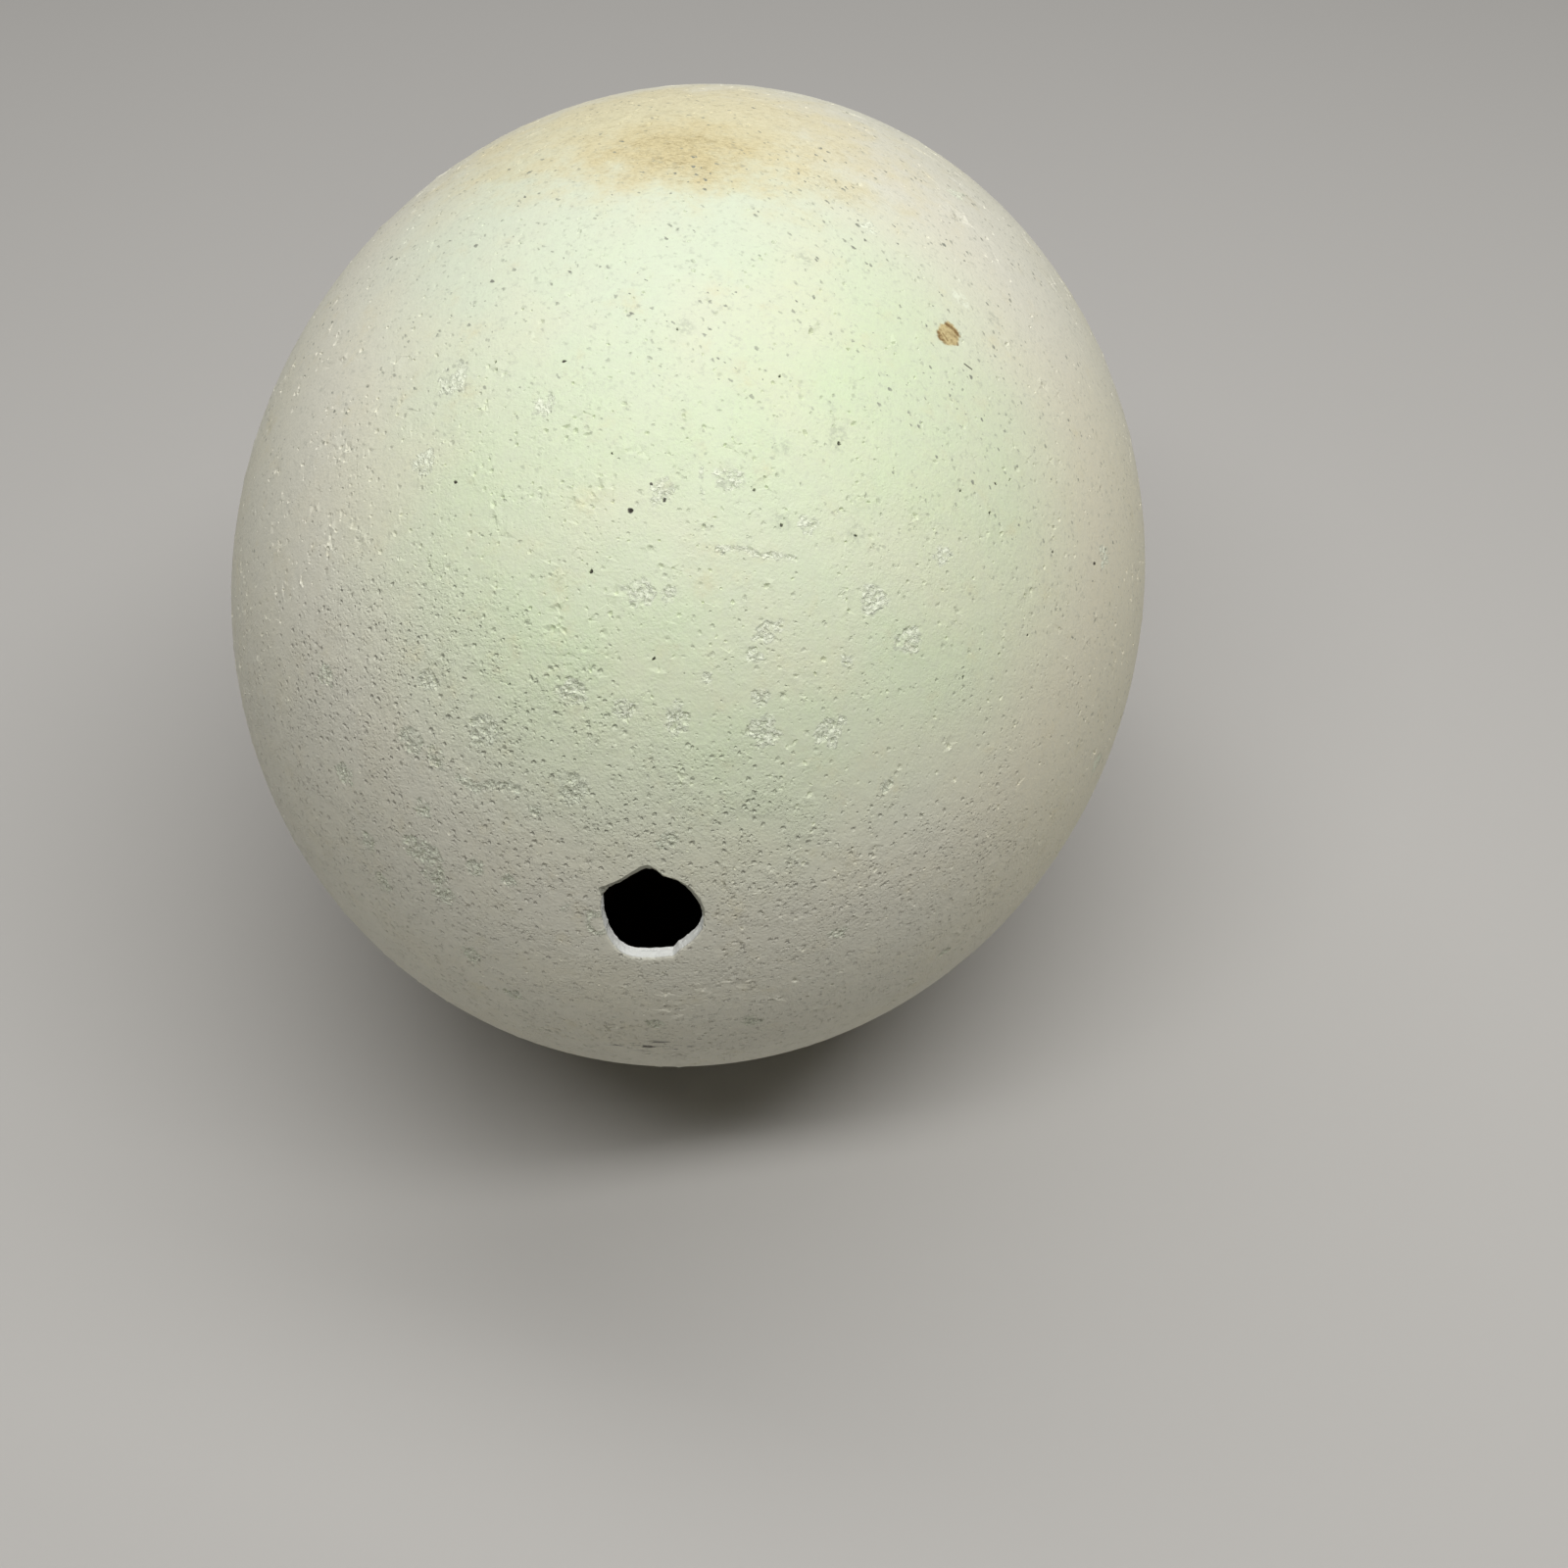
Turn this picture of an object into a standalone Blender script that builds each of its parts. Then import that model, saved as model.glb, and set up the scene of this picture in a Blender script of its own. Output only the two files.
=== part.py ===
"""A blown ostrich egg lying on its side: one hollow shell with a hand-cut hole near its blunt pole.

Metres, +Z up. The long axis lies along Y with the blunt pole towards -Y. The origin is on the
surface that the egg rests on, under the middle of its length.

A place on the shell is given by two angles. The first is the profile's own angle, counted from
the blunt pole. The second, the bearing, goes round the long axis: 0 is +X, 90 is the top.
"""

import math

import bmesh
import bpy
from mathutils import Matrix, Vector

MM = 0.001

# Driving dimensions
EGG_LENGTH = 152.4 * MM
EGG_WIDTH = 127.0 * MM
BLUNTNESS = 0.034  # how much fuller the blunt half is than the pointed half, as a share of the width
SHELL_THICKNESS = 1.9 * MM
REST_FLAT_DEPTH = 0.3 * MM  # what the worn flat spot takes off the belly

# The hole: its place, and its outline as (right, up, handle) from its centre in mm, seen from outside.
# A curve runs smoothly through an AUTO point and turns sharply at a VECTOR one.
HOLE_ANGLE = math.radians(10.4)
HOLE_BEARING = math.radians(52.8)
HOLE_OUTLINE_MM = (
    (0.4, 7.5, "VECTOR"),  # the notch, a chip that runs up from the rim
    (-0.9, 7.4, "AUTO"),
    (-3.4, 5.7, "AUTO"),
    (-5.9, 3.5, "VECTOR"),  # the chipped corner
    (-5.6, 2.1, "VECTOR"),
    (-5.5, -2.2, "AUTO"),
    (-3.3, -6.3, "AUTO"),
    (1.2, -7.1, "AUTO"),
    (3.1, -6.2, "VECTOR"),
    (4.9, -3.9, "VECTOR"),
    (6.4, -0.6, "AUTO"),
    (5.6, 3.3, "AUTO"),
    (1.8, 5.9, "VECTOR"),
)
HOLE_CURVE_STEPS = 3  # straight pieces to each stretch of the outline
HOLE_CUTTER_REACH = 4 * MM  # to each side of the outer surface

# Scars, the shallow craters that show from a step away: (angle, bearing, width in mm)
FRONT_SCARS = (
    (63.5, 112, 4.4),
    (59, 100, 2.8),
    (55.5, 116, 3.4),
    (54, 76, 3.2),
    (51.5, 84, 3.0),
    (53.5, 64.5, 3.6),
    (49, 70, 3.4),
    (42, 84, 3.6),
    (42.5, 79, 2.6),
    (49.5, 53, 3.6),
    (48.5, 45, 3.4),
    (57, 47.5, 2.6),
    (32, 94, 3.4),
    (31, 73.5, 3.2),
    (33.5, 58, 3.8),
    (36.5, 48, 3.0),
    (41.5, 143, 3.4),
    (35, 122, 2.8),
    (29, 113, 4.0),
    (22.5, 94, 3.8),
    (19.5, 65, 2.6),
    (20.5, 149, 3.6),
    (65.5, -1, 3.4),
    (87, 68.5, 2.6),
)
BACK_SCARS = (
    (74, 24, 3.2),
    (98, 141, 3.6),
    (103, 58, 3.0),
    (112, -9, 3.8),
    (118, 97, 3.4),
    (92, 178, 3.2),
    (121, 203, 3.8),
    (137, 31, 3.4),
    (146, 128, 3.0),
    (152, -48, 3.4),
    (66, 214, 3.6),
    (71, -37, 3.2),
    (41, 233, 3.4),
    (44, -62, 3.0),
)
SCAR_DEPTH = 0.25 * MM

# How finely the curved faces are cut
TURNS = 64
OUTER_STEPS = 36
INNER_TURNS = 40
INNER_STEPS = 20
SCAR_SEGMENTS = 12
SCAR_RINGS = 6

HALF_LENGTH = EGG_LENGTH / 2
EQUATOR_RADIUS = EGG_WIDTH / 2
AXIS_HEIGHT = EQUATOR_RADIUS - REST_FLAT_DEPTH
MERGE_DISTANCE = 0.01 * MM

# The egg is turned upright, blunt pole up, and then laid down with that pole towards -Y
LAID_DOWN = Matrix.Translation((0, 0, AXIS_HEIGHT)) @ Matrix.Rotation(math.radians(90), 4, "X")


def profile_point(angle, depth=0.0):
    """Distance from the long axis and along it, at a depth below the outer surface."""
    radius = EQUATOR_RADIUS * math.sin(angle) * (1 + BLUNTNESS * math.cos(angle))
    along = HALF_LENGTH * math.cos(angle)
    normal = profile_normal(angle)
    return radius - depth * normal[0], along - depth * normal[1]


def profile_normal(angle):
    """Outward unit normal of the profile: away from the long axis, and along it."""
    radius_slope = EQUATOR_RADIUS * (math.cos(angle) + BLUNTNESS * math.cos(2 * angle))
    along_slope = -HALF_LENGTH * math.sin(angle)
    size = math.hypot(radius_slope, along_slope)
    return -along_slope / size, radius_slope / size


def on_shell(angle, bearing):
    """Matrix of a place on the outer surface: Z points out of the shell, Y up along it."""
    radius, along = profile_point(angle)
    away, onward = profile_normal(angle)
    sideways = Vector((math.cos(bearing), 0, math.sin(bearing)))
    point = sideways * radius + Vector((0, -along, AXIS_HEIGHT))
    outward = sideways * away + Vector((0, -onward, 0))
    return Matrix.LocRotScale(point, outward.to_track_quat("Z", "Y"), None)


def new_collection(name):
    collection = bpy.data.collections.new(name)
    bpy.context.scene.collection.children.link(collection)
    return collection


def move_to(collection, thing):
    for old in list(thing.users_collection):
        old.objects.unlink(thing)
    collection.objects.link(thing)


def hide_cutter(cutter):
    cutter.hide_render = True
    cutter.display_type = "WIRE"


def turned_egg(name, collection, depth, steps, turns):
    """An egg-shaped solid, turned from the profile at a depth below the outer surface."""
    points = []
    for step in range(steps + 1):
        radius, along = profile_point(math.pi * step / steps, depth)
        at_a_pole = step in (0, steps)
        points.append((0 if at_a_pole else radius, 0, along))
    edges = [(i, i + 1) for i in range(steps)]
    mesh = bpy.data.meshes.new(name)
    mesh.from_pydata(points, edges, [])
    egg = bpy.data.objects.new(name, mesh)
    egg.matrix_world = LAID_DOWN
    collection.objects.link(egg)
    screw = egg.modifiers.new("turn", "SCREW")
    screw.axis = "Z"
    screw.angle = math.radians(360)
    screw.steps = turns
    screw.render_steps = turns
    screw.use_merge_vertices = True
    screw.merge_threshold = MERGE_DISTANCE
    screw.use_smooth_shade = True
    return egg


def make_hole_cutter(cutters):
    """A prism of the hole's outline, square to the shell."""
    curve = bpy.data.curves.new("hole outline", "CURVE")
    curve.dimensions = "2D"
    curve.fill_mode = "BOTH"
    curve.extrude = HOLE_CUTTER_REACH
    curve.resolution_u = HOLE_CURVE_STEPS
    spline = curve.splines.new("BEZIER")
    spline.bezier_points.add(len(HOLE_OUTLINE_MM) - 1)
    for point, (right, up, handle) in zip(spline.bezier_points, HOLE_OUTLINE_MM):
        point.co = (right * MM, up * MM, 0)
        point.handle_left_type = handle
        point.handle_right_type = handle
    spline.use_cyclic_u = True
    outline = bpy.data.objects.new("hole outline", curve)
    outline.matrix_world = on_shell(HOLE_ANGLE, HOLE_BEARING)
    cutters.objects.link(outline)
    return curve_to_mesh(outline, "hole cutter", cutters)


def curve_to_mesh(outline, name, collection):
    """The curve as a closed mesh object in the same place; the curve itself is removed."""
    bpy.context.view_layer.update()
    evaluated = outline.evaluated_get(bpy.context.evaluated_depsgraph_get())
    mesh = bpy.data.meshes.new_from_object(evaluated)
    weld = bmesh.new()
    weld.from_mesh(mesh)
    bmesh.ops.remove_doubles(weld, verts=weld.verts, dist=MERGE_DISTANCE)
    weld.to_mesh(mesh)
    weld.free()
    solid = bpy.data.objects.new(name, mesh)
    solid.matrix_world = outline.matrix_world
    collection.objects.link(solid)
    bpy.data.objects.remove(outline)
    hide_cutter(solid)
    return solid


def make_rest_cutter(cutters):
    """A block whose top face is the surface that the egg rests on."""
    side = 40 * MM
    bpy.ops.mesh.primitive_cube_add(size=side, location=(0, 0, -side / 2))
    block = bpy.context.object
    block.name = "rest cutter"
    move_to(cutters, block)
    hide_cutter(block)
    return block


def make_scar_cutters(cutters):
    """One flattened ball for each scar, sunk to its middle in the shell."""
    scars = new_collection("scar cutters")
    for number, (angle, bearing, width) in enumerate(FRONT_SCARS + BACK_SCARS, start=1):
        bpy.ops.mesh.primitive_uv_sphere_add(segments=SCAR_SEGMENTS, ring_count=SCAR_RINGS, radius=1)
        ball = bpy.context.object
        ball.name = f"scar cutter {number:02d}"
        half_width = width * MM / 2
        ball.data.transform(Matrix.Diagonal((half_width, half_width, SCAR_DEPTH, 1)))
        ball.matrix_world = on_shell(math.radians(angle), math.radians(bearing))
        move_to(scars, ball)
        hide_cutter(ball)
    bpy.context.scene.collection.children.unlink(scars)
    cutters.children.link(scars)
    return scars


def cut(shell, name, cutter):
    boolean = shell.modifiers.new(name, "BOOLEAN")
    boolean.operation = "DIFFERENCE"
    boolean.solver = "EXACT"
    if isinstance(cutter, bpy.types.Collection):
        boolean.operand_type = "COLLECTION"
        boolean.collection = cutter
    else:
        boolean.object = cutter


def eggshell_material():
    """Matt ivory, with the satin finish of an old cleaned shell."""
    material = bpy.data.materials.new("eggshell")
    material.use_nodes = True
    shader = material.node_tree.nodes["Principled BSDF"]
    shader.inputs["Base Color"].default_value = (0.73, 0.74, 0.58, 1)
    shader.inputs["Roughness"].default_value = 0.55
    shader.inputs["Metallic"].default_value = 0
    return material


def make_eggshell(parts, cutters):
    shell = turned_egg("eggshell", parts, 0, OUTER_STEPS, TURNS)
    hollow = turned_egg("hollow cutter", cutters, SHELL_THICKNESS, INNER_STEPS, INNER_TURNS)
    hide_cutter(hollow)
    cut(shell, "scars", make_scar_cutters(cutters))
    cut(shell, "rest flat", make_rest_cutter(cutters))
    cut(shell, "hollow", hollow)
    cut(shell, "hole", make_hole_cutter(cutters))
    shell.data.materials.append(eggshell_material())
    return shell


def main():
    for old in list(bpy.data.objects):
        bpy.data.objects.remove(old)
    parts = new_collection("ostrich egg")
    cutters = new_collection("cutters")
    make_eggshell(parts, cutters)


main()
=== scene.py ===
"""The finished look of a blown ostrich egg: its pitted shell, the scars and stains, and the cut hole.

The shell is modelled in millimetres on the sizes of the frame's eggshell, and brought to metres at
the end. Its long axis lies along Y, blunt pole towards -Y, and it rests on z = 0.

A place on the shell is given by two angles, as in the frame's own model: the profile's angle,
counted from the blunt pole, and the bearing round the long axis, where 0 is +X and 90 is the top.
"""

import math

import bpy
import numpy as np
from mathutils import Matrix, Vector, kdtree, noise


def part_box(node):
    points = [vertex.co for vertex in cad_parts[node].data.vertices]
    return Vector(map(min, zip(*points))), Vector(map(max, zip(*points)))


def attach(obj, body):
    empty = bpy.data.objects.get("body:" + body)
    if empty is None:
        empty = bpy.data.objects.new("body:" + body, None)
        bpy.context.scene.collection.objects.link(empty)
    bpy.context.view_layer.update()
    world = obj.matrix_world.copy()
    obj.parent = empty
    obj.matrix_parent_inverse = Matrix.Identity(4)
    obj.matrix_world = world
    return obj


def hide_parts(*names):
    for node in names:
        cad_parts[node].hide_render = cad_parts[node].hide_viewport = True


MM = 0.001

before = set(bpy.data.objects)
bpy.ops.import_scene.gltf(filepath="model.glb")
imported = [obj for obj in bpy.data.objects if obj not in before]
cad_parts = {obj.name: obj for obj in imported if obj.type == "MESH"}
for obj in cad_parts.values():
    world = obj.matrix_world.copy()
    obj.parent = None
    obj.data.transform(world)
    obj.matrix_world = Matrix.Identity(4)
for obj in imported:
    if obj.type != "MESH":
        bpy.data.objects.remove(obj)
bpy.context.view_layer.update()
shell_low, shell_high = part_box("eggshell")

# The egg's own sizes, in millimetres
HALF_LENGTH = (shell_high.y - shell_low.y) / 2 / MM
HALF_WIDTH = (shell_high.x - shell_low.x) / 2 / MM
AXIS_HEIGHT = shell_high.z / MM - HALF_WIDTH
BLUNTNESS = 0.034
SHELL_THICKNESS = 1.9
SKIN = 0.05  # how far the finished surface lies inside the frame's, so that its box holds it

# The hole: its place, and its outline as (right, up, handle) from its centre, seen from outside
HOLE_ANGLE = 10.4
HOLE_BEARING = 52.8
HOLE_OUTLINE = (
    (0.6, 7.15, "VECTOR"),  # the notch, a chip that runs up from the rim
    (0.1, 7.4, "AUTO"),
    (-0.75, 7.15, "AUTO"),
    (-1.55, 6.6, "AUTO"),
    (-3.45, 5.15, "AUTO"),
    (-5.8, 3.9, "VECTOR"),  # the chipped corner
    (-5.5, 2.7, "VECTOR"),
    (-5.65, 0.6, "AUTO"),
    (-5.4, -1.7, "AUTO"),
    (-4.9, -3.8, "AUTO"),
    (-3.6, -6.1, "AUTO"),
    (-2.4, -6.8, "AUTO"),
    (-0.4, -6.95, "AUTO"),
    (2.6, -6.7, "VECTOR"),
    (3.3, -5.7, "VECTOR"),
    (4.7, -4.4, "AUTO"),
    (5.6, -3.3, "VECTOR"),
    (6.15, -2.4, "VECTOR"),
    (6.45, -0.6, "AUTO"),
    (6.35, 1.55, "AUTO"),
    (5.5, 3.3, "AUTO"),
    (4.7, 4.35, "AUTO"),
    (3.3, 5.4, "AUTO"),
    (1.85, 5.9, "VECTOR"),
)

# Scars, the shallow craters that show from a step away: (angle, bearing, width)
SCARS = (
    (63.5, 112, 4.4), (59, 100, 2.8), (55.5, 116, 3.4), (54, 76, 3.6), (51.5, 84, 3.2),
    (42, 84, 3.2), (42.4, 80, 2.1), (42.0, 64.4, 2.8), (49.5, 53, 3.6), (48.5, 45, 3.4),
    (57, 47.5, 2.6), (32, 94, 3.4), (31, 73.5, 3.2), (33.5, 58, 3.8), (36.5, 48, 3.0),
    (41.5, 143, 3.4), (35, 122, 2.8), (29, 113, 4.0), (22.5, 94, 3.8), (19.5, 65, 2.6),
    (20.5, 149, 3.6), (65.5, -1, 3.4), (87, 68.5, 2.6), (74, 24, 3.2), (98, 141, 3.6),
    (103, 58, 3.0), (112, -9, 3.8), (127, 84, 3.4), (92, 178, 3.2), (121, 203, 3.8),
    (137, 31, 3.4), (146, 128, 3.0), (152, -48, 3.4), (66, 214, 3.6), (71, -37, 3.2),
    (41, 233, 3.4), (44, -62, 3.0),
)
# Rough places, smaller or shallower than the scars: (angle, bearing, width)
ROUGH_SPOTS = (
    # right of the middle
    (52.6, 65.0, 2.4), (39.5, 65.3, 1.9), (47.4, 46.7, 2.0), (43.2, 51.5, 1.8), (36.2, 61.5, 2.2),
    (37.0, 32.6, 1.8), (41.7, -17.5, 2.2),
    # above the hole
    (31.1, 83.7, 2.4), (31.9, 74.5, 2.2), (35.9, 71.2, 1.6), (20.4, 105.7, 1.8),
    # worn patches low on the left
    (30.5, 131, 3.6), (28.0, 127, 2.8), (33.1, 152.5, 3.0), (22.0, 151, 4.4), (19.0, 155, 3.6),
    (17.2, 160, 3.2), (24.9, 173.2, 2.8), (27.5, 163, 2.4), (24.5, 139, 2.6), (16.5, 138, 2.6),
    (13.5, 128, 2.2), (9.0, 108, 1.5), (14.0, -170, 3.0), (12.5, -140, 2.4), (12.0, -60, 2.6),
    (20.0, -35, 2.4), (26.0, 5, 2.2),
)

# Broken scratches: width, then the places that each runs through, as (angle, bearing)
SCRATCHES = (
    (0.85, ((47.4, 75.0), (48.2, 72.0), (48.2, 69.0), (48.9, 66.4), (49.2, 63.8))),
    (0.75, ((53.6, 65.2), (52.3, 64.9), (51.5, 63.8))),
    (0.7, ((40.8, 66.2), (42.2, 64.6), (43.6, 63.2))),
    (0.6, ((54.2, 79.7), (52.7, 79.2), (51.2, 78.6))),
    (1.2, ((38.4, 47.0), (36.8, 46.5), (35.5, 45.4))),
    (1.2, ((25.5, 124.0), (23.9, 120.6), (23.6, 116.2), (23.3, 111.6), (22.6, 108.5))),
    (0.75, ((8.5, 87.7), (7.2, 89.6), (6.2, 88.5), (5.7, 83.4), (5.4, 75.6))),
)
SCRATCH_STEP = 0.5
SCAR_DEPTH = 0.13
SCAR_ROUGHNESS = 0.33
BOLD_SCARS = (-60, -35)  # along Y, from where they are boldest to where they are faint
FAINT_SCARS = 0.27

# Pits, the open pores: (radius, depth, how many to a square centimetre where they crowd)
PIT_SIZES = (
    (0.50, 0.23, 5.8), (0.38, 0.19, 11.5), (0.28, 0.15, 17.0), (0.22, 0.12, 18.5),
)
PITS_CROWD = (22, 150)  # the angle and bearing round which they stand thickest
PITS_FEWEST = 0.14  # how many there are far from there, as a share
PIT_STRETCH = (1.0, 1.9)  # from round to long
PIT_RIM_WANDER = (0.8, 1.2)
PIT_WIDTH_SHARE = (0.75, 1.1)
PIT_FLOOR_SHARE = (0.1, 0.4)  # the floor's width, as a share of what the inset leaves
PIT_FLOOR_SPREAD = (-0.45, 0.35)  # how much deeper or shallower a floor lies, as a share of the depth
PIT_FLOOR_TILT = 0.15
PIT_CLEARANCE = 0.49  # how much of the way to its neighbour a pit may take
PIT_ROOM = 2.15  # how far its nearest vertex has to be, in radii
PIT_DRIFTS = ((2.2, 6.0, 1), (1.8, 2.3, 2))  # strength, size and seed of the drifts of pits
PIT_SCAR_GAP = 0.7
PIT_HOLE_GAP = 1.9
PIT_WALL_SHARE = 0.3
# Each from where the pits crowd to where they are few
PIT_RAISE = (0.30, 0.15)  # how much shallower the floors are, as a share of the depth
PIT_LEAST_DIRT = (0.06, 0.25)
PIT_DIRT_POWER = (4.0, 0.5)  # the higher, the fewer of the pits are dirty
PIT_MORE_DIRT = 0.54

# Pores filled with black dirt, each by its angle and bearing
BLACK_PORES = (
    (49.2, 87.4), (50.7, 83.4), (52.7, 111.5), (63.5, 98.2), (67.6, 86.0), (61.0, 64.9),
    (53.7, 58.8), (64.0, 44.1), (68.6, 43.3), (53.7, 72.8), (51.5, 68.2), (43.3, 91.8),
    (71.7, 25.5), (65.2, 73.7), (30.6, 26.4), (17.0, 27.5), (36.2, 80.3), (64.2, 106.6),
    (54.4, 90.8), (28.0, 8.5), (67.0, 45.0), (66.9, 33.1), (62.3, 26.0), (63.2, 28.0),
    (65.0, 26.8), (58.3, 30.1), (54.3, 32.4), (49.7, 34.9), (63.6, 48.9),
)
BLACK_PORE_RADIUS = 0.29
BLACK_PORE_DEPTH = 0.22
BLACK_PORE_DIRT = (0.84, 1.0)

# The hole's cut edge, row by row from the surface to the inside: (outside and depth where it drops
# straight, outside for each millimetre of lip and depth where it has a lip, raggedness)
HOLE_MARGIN = 1.1
HOLE_SIDE = 6  # how far from the hole's plane its own side of the shell may lie
FOLLOWING_BAND = 1.3  # how wide the ring of faces is that follows the drawn edge
INNER_MARGIN = 2.0
# Painted shade on the hole's sloping lip, laid between LIP_DEPTHS through the pits' dirt mask
LIP_SHADE = 0.80
LIP_DEPTHS = (0.05, 0.5)
WALL_FROM = (0.22, 0.5)  # the depth at which the cut's fresh colour starts, without and with a lip
WALL_FADE = 0.16
CUT_MARGIN = 0.6  # how far outside the hole's edge the cut is looked for
RIM_ROWS = (
    (0.62, 0.00, 0.30, 0.00, 0.03),
    (0.34, 0.02, 0.06, 0.01, 0.07),
    (0.15, 0.06, -0.06, 0.09, 0.09),
    (0.03, 0.17, -0.42, 0.22, 0.09),
    (0.00, 0.42, -0.80, 0.34, 0.07),
    (0.00, 0.80, -1.04, 0.48, 0.07),
    (-0.03, 1.15, -1.08, 0.85, 0.08),
    (0.02, 1.48, -1.04, 1.30, 0.10),
    (0.00, 1.76, -1.00, 1.70, 0.09),
    (0.08, 1.88, -0.90, 1.86, 0.07),
    (0.45, 1.90, -0.40, 1.90, 0.04),
)
# How far the lip slopes down into the hole before the wall drops: (turn round the hole, reach)
LIP_REACHES = (
    (-170, 0.0), (-30, 0.0), (-12, 0.1), (2, 0.25), (15, 0.4), (30, 0.42), (55, 0.32), (70, 0.22),
    (80, 0.32), (85, 0.45), (87.5, 0.68), (92, 0.68), (116, 0.47), (132, 0.42), (140, 0.6),
    (146, 0.95), (151, 0.33), (156, 0.05), (165, 0.0),
)

# Colours
IVORY = (0.775, 0.755, 0.630, 1)
GREENISH = (0.690, 0.790, 0.530, 1)
GREENER = (0.680, 0.800, 0.470, 1)
MINT = (0.710, 0.785, 0.600, 1)
CREAM = (0.800, 0.755, 0.565, 1)
SHADED_IVORY = (0.62, 0.62, 0.53, 1)
CHALK = (0.88, 0.92, 0.74, 1)
# Dirt colour, also used for painted shade at the scars' edges, between their crumbs, in small pores
# and on the hole's lip
DIRT_AND_SHADE = (0.33, 0.35, 0.28, 1)
SPECK = (0.25, 0.26, 0.21, 1)
# Black dirt, also painted shade on the hole's lip
BLACK_DIRT_AND_SHADE = (0.045, 0.04, 0.03, 1)
FRESH_CUT = (0.94, 0.95, 0.90, 1)
# The inner surface: a dried membrane's tan, darkened further as painted shade for the dim inside
SHADED_MEMBRANE = (0.34, 0.27, 0.18, 1)
STAIN_CREAM = (0.77, 0.69, 0.43, 1)
STAIN_TAN = (0.66, 0.54, 0.27, 1)
STAIN_BROWN = (0.29, 0.23, 0.11, 1)
RING_TAN = (0.60, 0.43, 0.16, 1)
RING_BROWN = (0.20, 0.11, 0.03, 1)

# The stain's halo, middle and tail: (middle, reach along each axis, ramp, colour, strength)
STAIN_PARTS = (
    ((-4, 14, 124), (40, 28, 50), (0, 0.7), STAIN_CREAM, 0.74),
    ((-1, 3.5, 126), (20, 15, 40), (0.1, 0.9), STAIN_TAN, 0.62),
    ((17, 2, 121), (15, 7, 40), (0.1, 0.9), STAIN_CREAM, 0.35),
)

# Soft changes over the shell: (angle, bearing, reach) of the places where its grain is rough
WORN_PLACES = (
    (22, 150, 50), (14, -95, 46), (8, 40, 40), (32, -20, 46), (38, 175, 36),
)
# Where the ground is greenest, mintiest and creamiest: the middle by angle and bearing, and the reach
GREEN_MIDDLE = (54, 75)
GREEN_REACH = (56, 56, 52)
MINT_MIDDLE = (84, 98)
MINT_REACH = (40, 40, 40)
CREAM_SIDE = (70, 12)
CREAM_REACH = (40, 50, 60)

# Small marks, each by its angle and bearing, and where a third number follows, its reach
RING_SPOT = (78.45, 56.6)
RING_SPOT_REACH = (2.05, 1.5)
RING_STREAKS = (  # the spot's dark lines, each from place to place, and how wide
    ((79.5, 57.3), (79.5, 56.4), 0.42),
    ((79.5, 56.4), (79.2, 55.7), 0.46),
    ((79.2, 55.7), (79.0, 55.3), 0.34),
    ((77.8, 57.8), (77.4, 57.4), 0.55),
    ((77.4, 57.4), (77.2, 56.9), 0.45),
    ((78.1, 57.3), (77.7, 56.6), 0.22),
    ((78.1, 55.3), (77.9, 55.25), 0.25),
)
HAIR_ENDS = ((76.3, 53.8), (76.3, 52.75))
PALE_PATCHES = (
    (84.2, 56.5, 1.3), (83.8, 55.7, 1.3),
)
BLACK_SPECKS = (  # the blackest dirt, round some of the pores
    (49.2, 87.4, 0.42), (50.7, 83.4, 0.36), (51.9, 85.4, 0.24), (53.7, 72.8, 0.26),
    (52.7, 111.5, 0.24), (63.5, 98.2, 0.22), (64.0, 44.1, 0.24), (71.7, 25.5, 0.30),
    (61.0, 64.9, 0.24),
)
SMUDGES = (
    (67.9, 85.2, 1.8), (58.4, 71.1, 1.8), (84.5, 51.5, 1.8), (62.0, 65.5, 1.8), (79.3, 74.4, 1.8),
    (51.7, 68.3, 1.8), (60.9, 65.1, 1.8), (53.8, 58.8, 1.8),
)
FLECK_DRIFTS = (  # where the grey flecks are thickest
    (91, 77, 10), (84, 71, 8), (80, 73, 6), (67.8, 86.2, 4), (68.5, 64.3, 5), (73.5, 48.6, 9),
    (65.7, 75.4, 4), (62.9, 112.5, 7), (88, 89, 7),
)
SCUFFS = (17.8, -72)
SCUFFS_REACH = (8.0, 3.0, 2.6)

# What the shape tells the finish: dirt in pits and painted shade on the hole's lip, broken scars, the
# cut wall and the inside
SHELL_ATTRIBUTES = ("pit", "scar", "wall", "inside")
# The finish's small pores and flecks: spacing, and the smallest and largest radius
FINE_PORES = (1.0, 0.20, 0.42)
FINER_PORES = (0.58, 0.12, 0.26)
GREY_FLECKS = (0.85, 0.10, 0.28)
# The finish's own relief, on the smooth shell and where it is most worn
FINE_PORE_DEPTH = (0.05, 0.26)
FINER_PORE_DEPTH = (0.03, 0.14)
GRAIN_HEIGHT = (0.05, 0.20)
SWELL_HEIGHT = (0.05, 0.11)
CRUMB_HEIGHT = (0.07, 0.14)
WALL_FIBRE_HEIGHT = 0.14

# Where the shell's faces are halved: towards the blunt pole, where the pits crowd, and then down to
# the finest edge at the scars and at the hole
HALVED_SIDE = 0.45
HALVED_CROWD = 0.85
FINE_EDGE = 0.38
FINE_SCAR_MARGIN = 0.55
FINE_HOLE_BAND = (-0.6, 1.9)
UNEVENNESS = 0.0032
SMOOTH_ANGLE = 8  # the edges between faces at more than this many degrees stay sharp
FAR = 99.0

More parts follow.
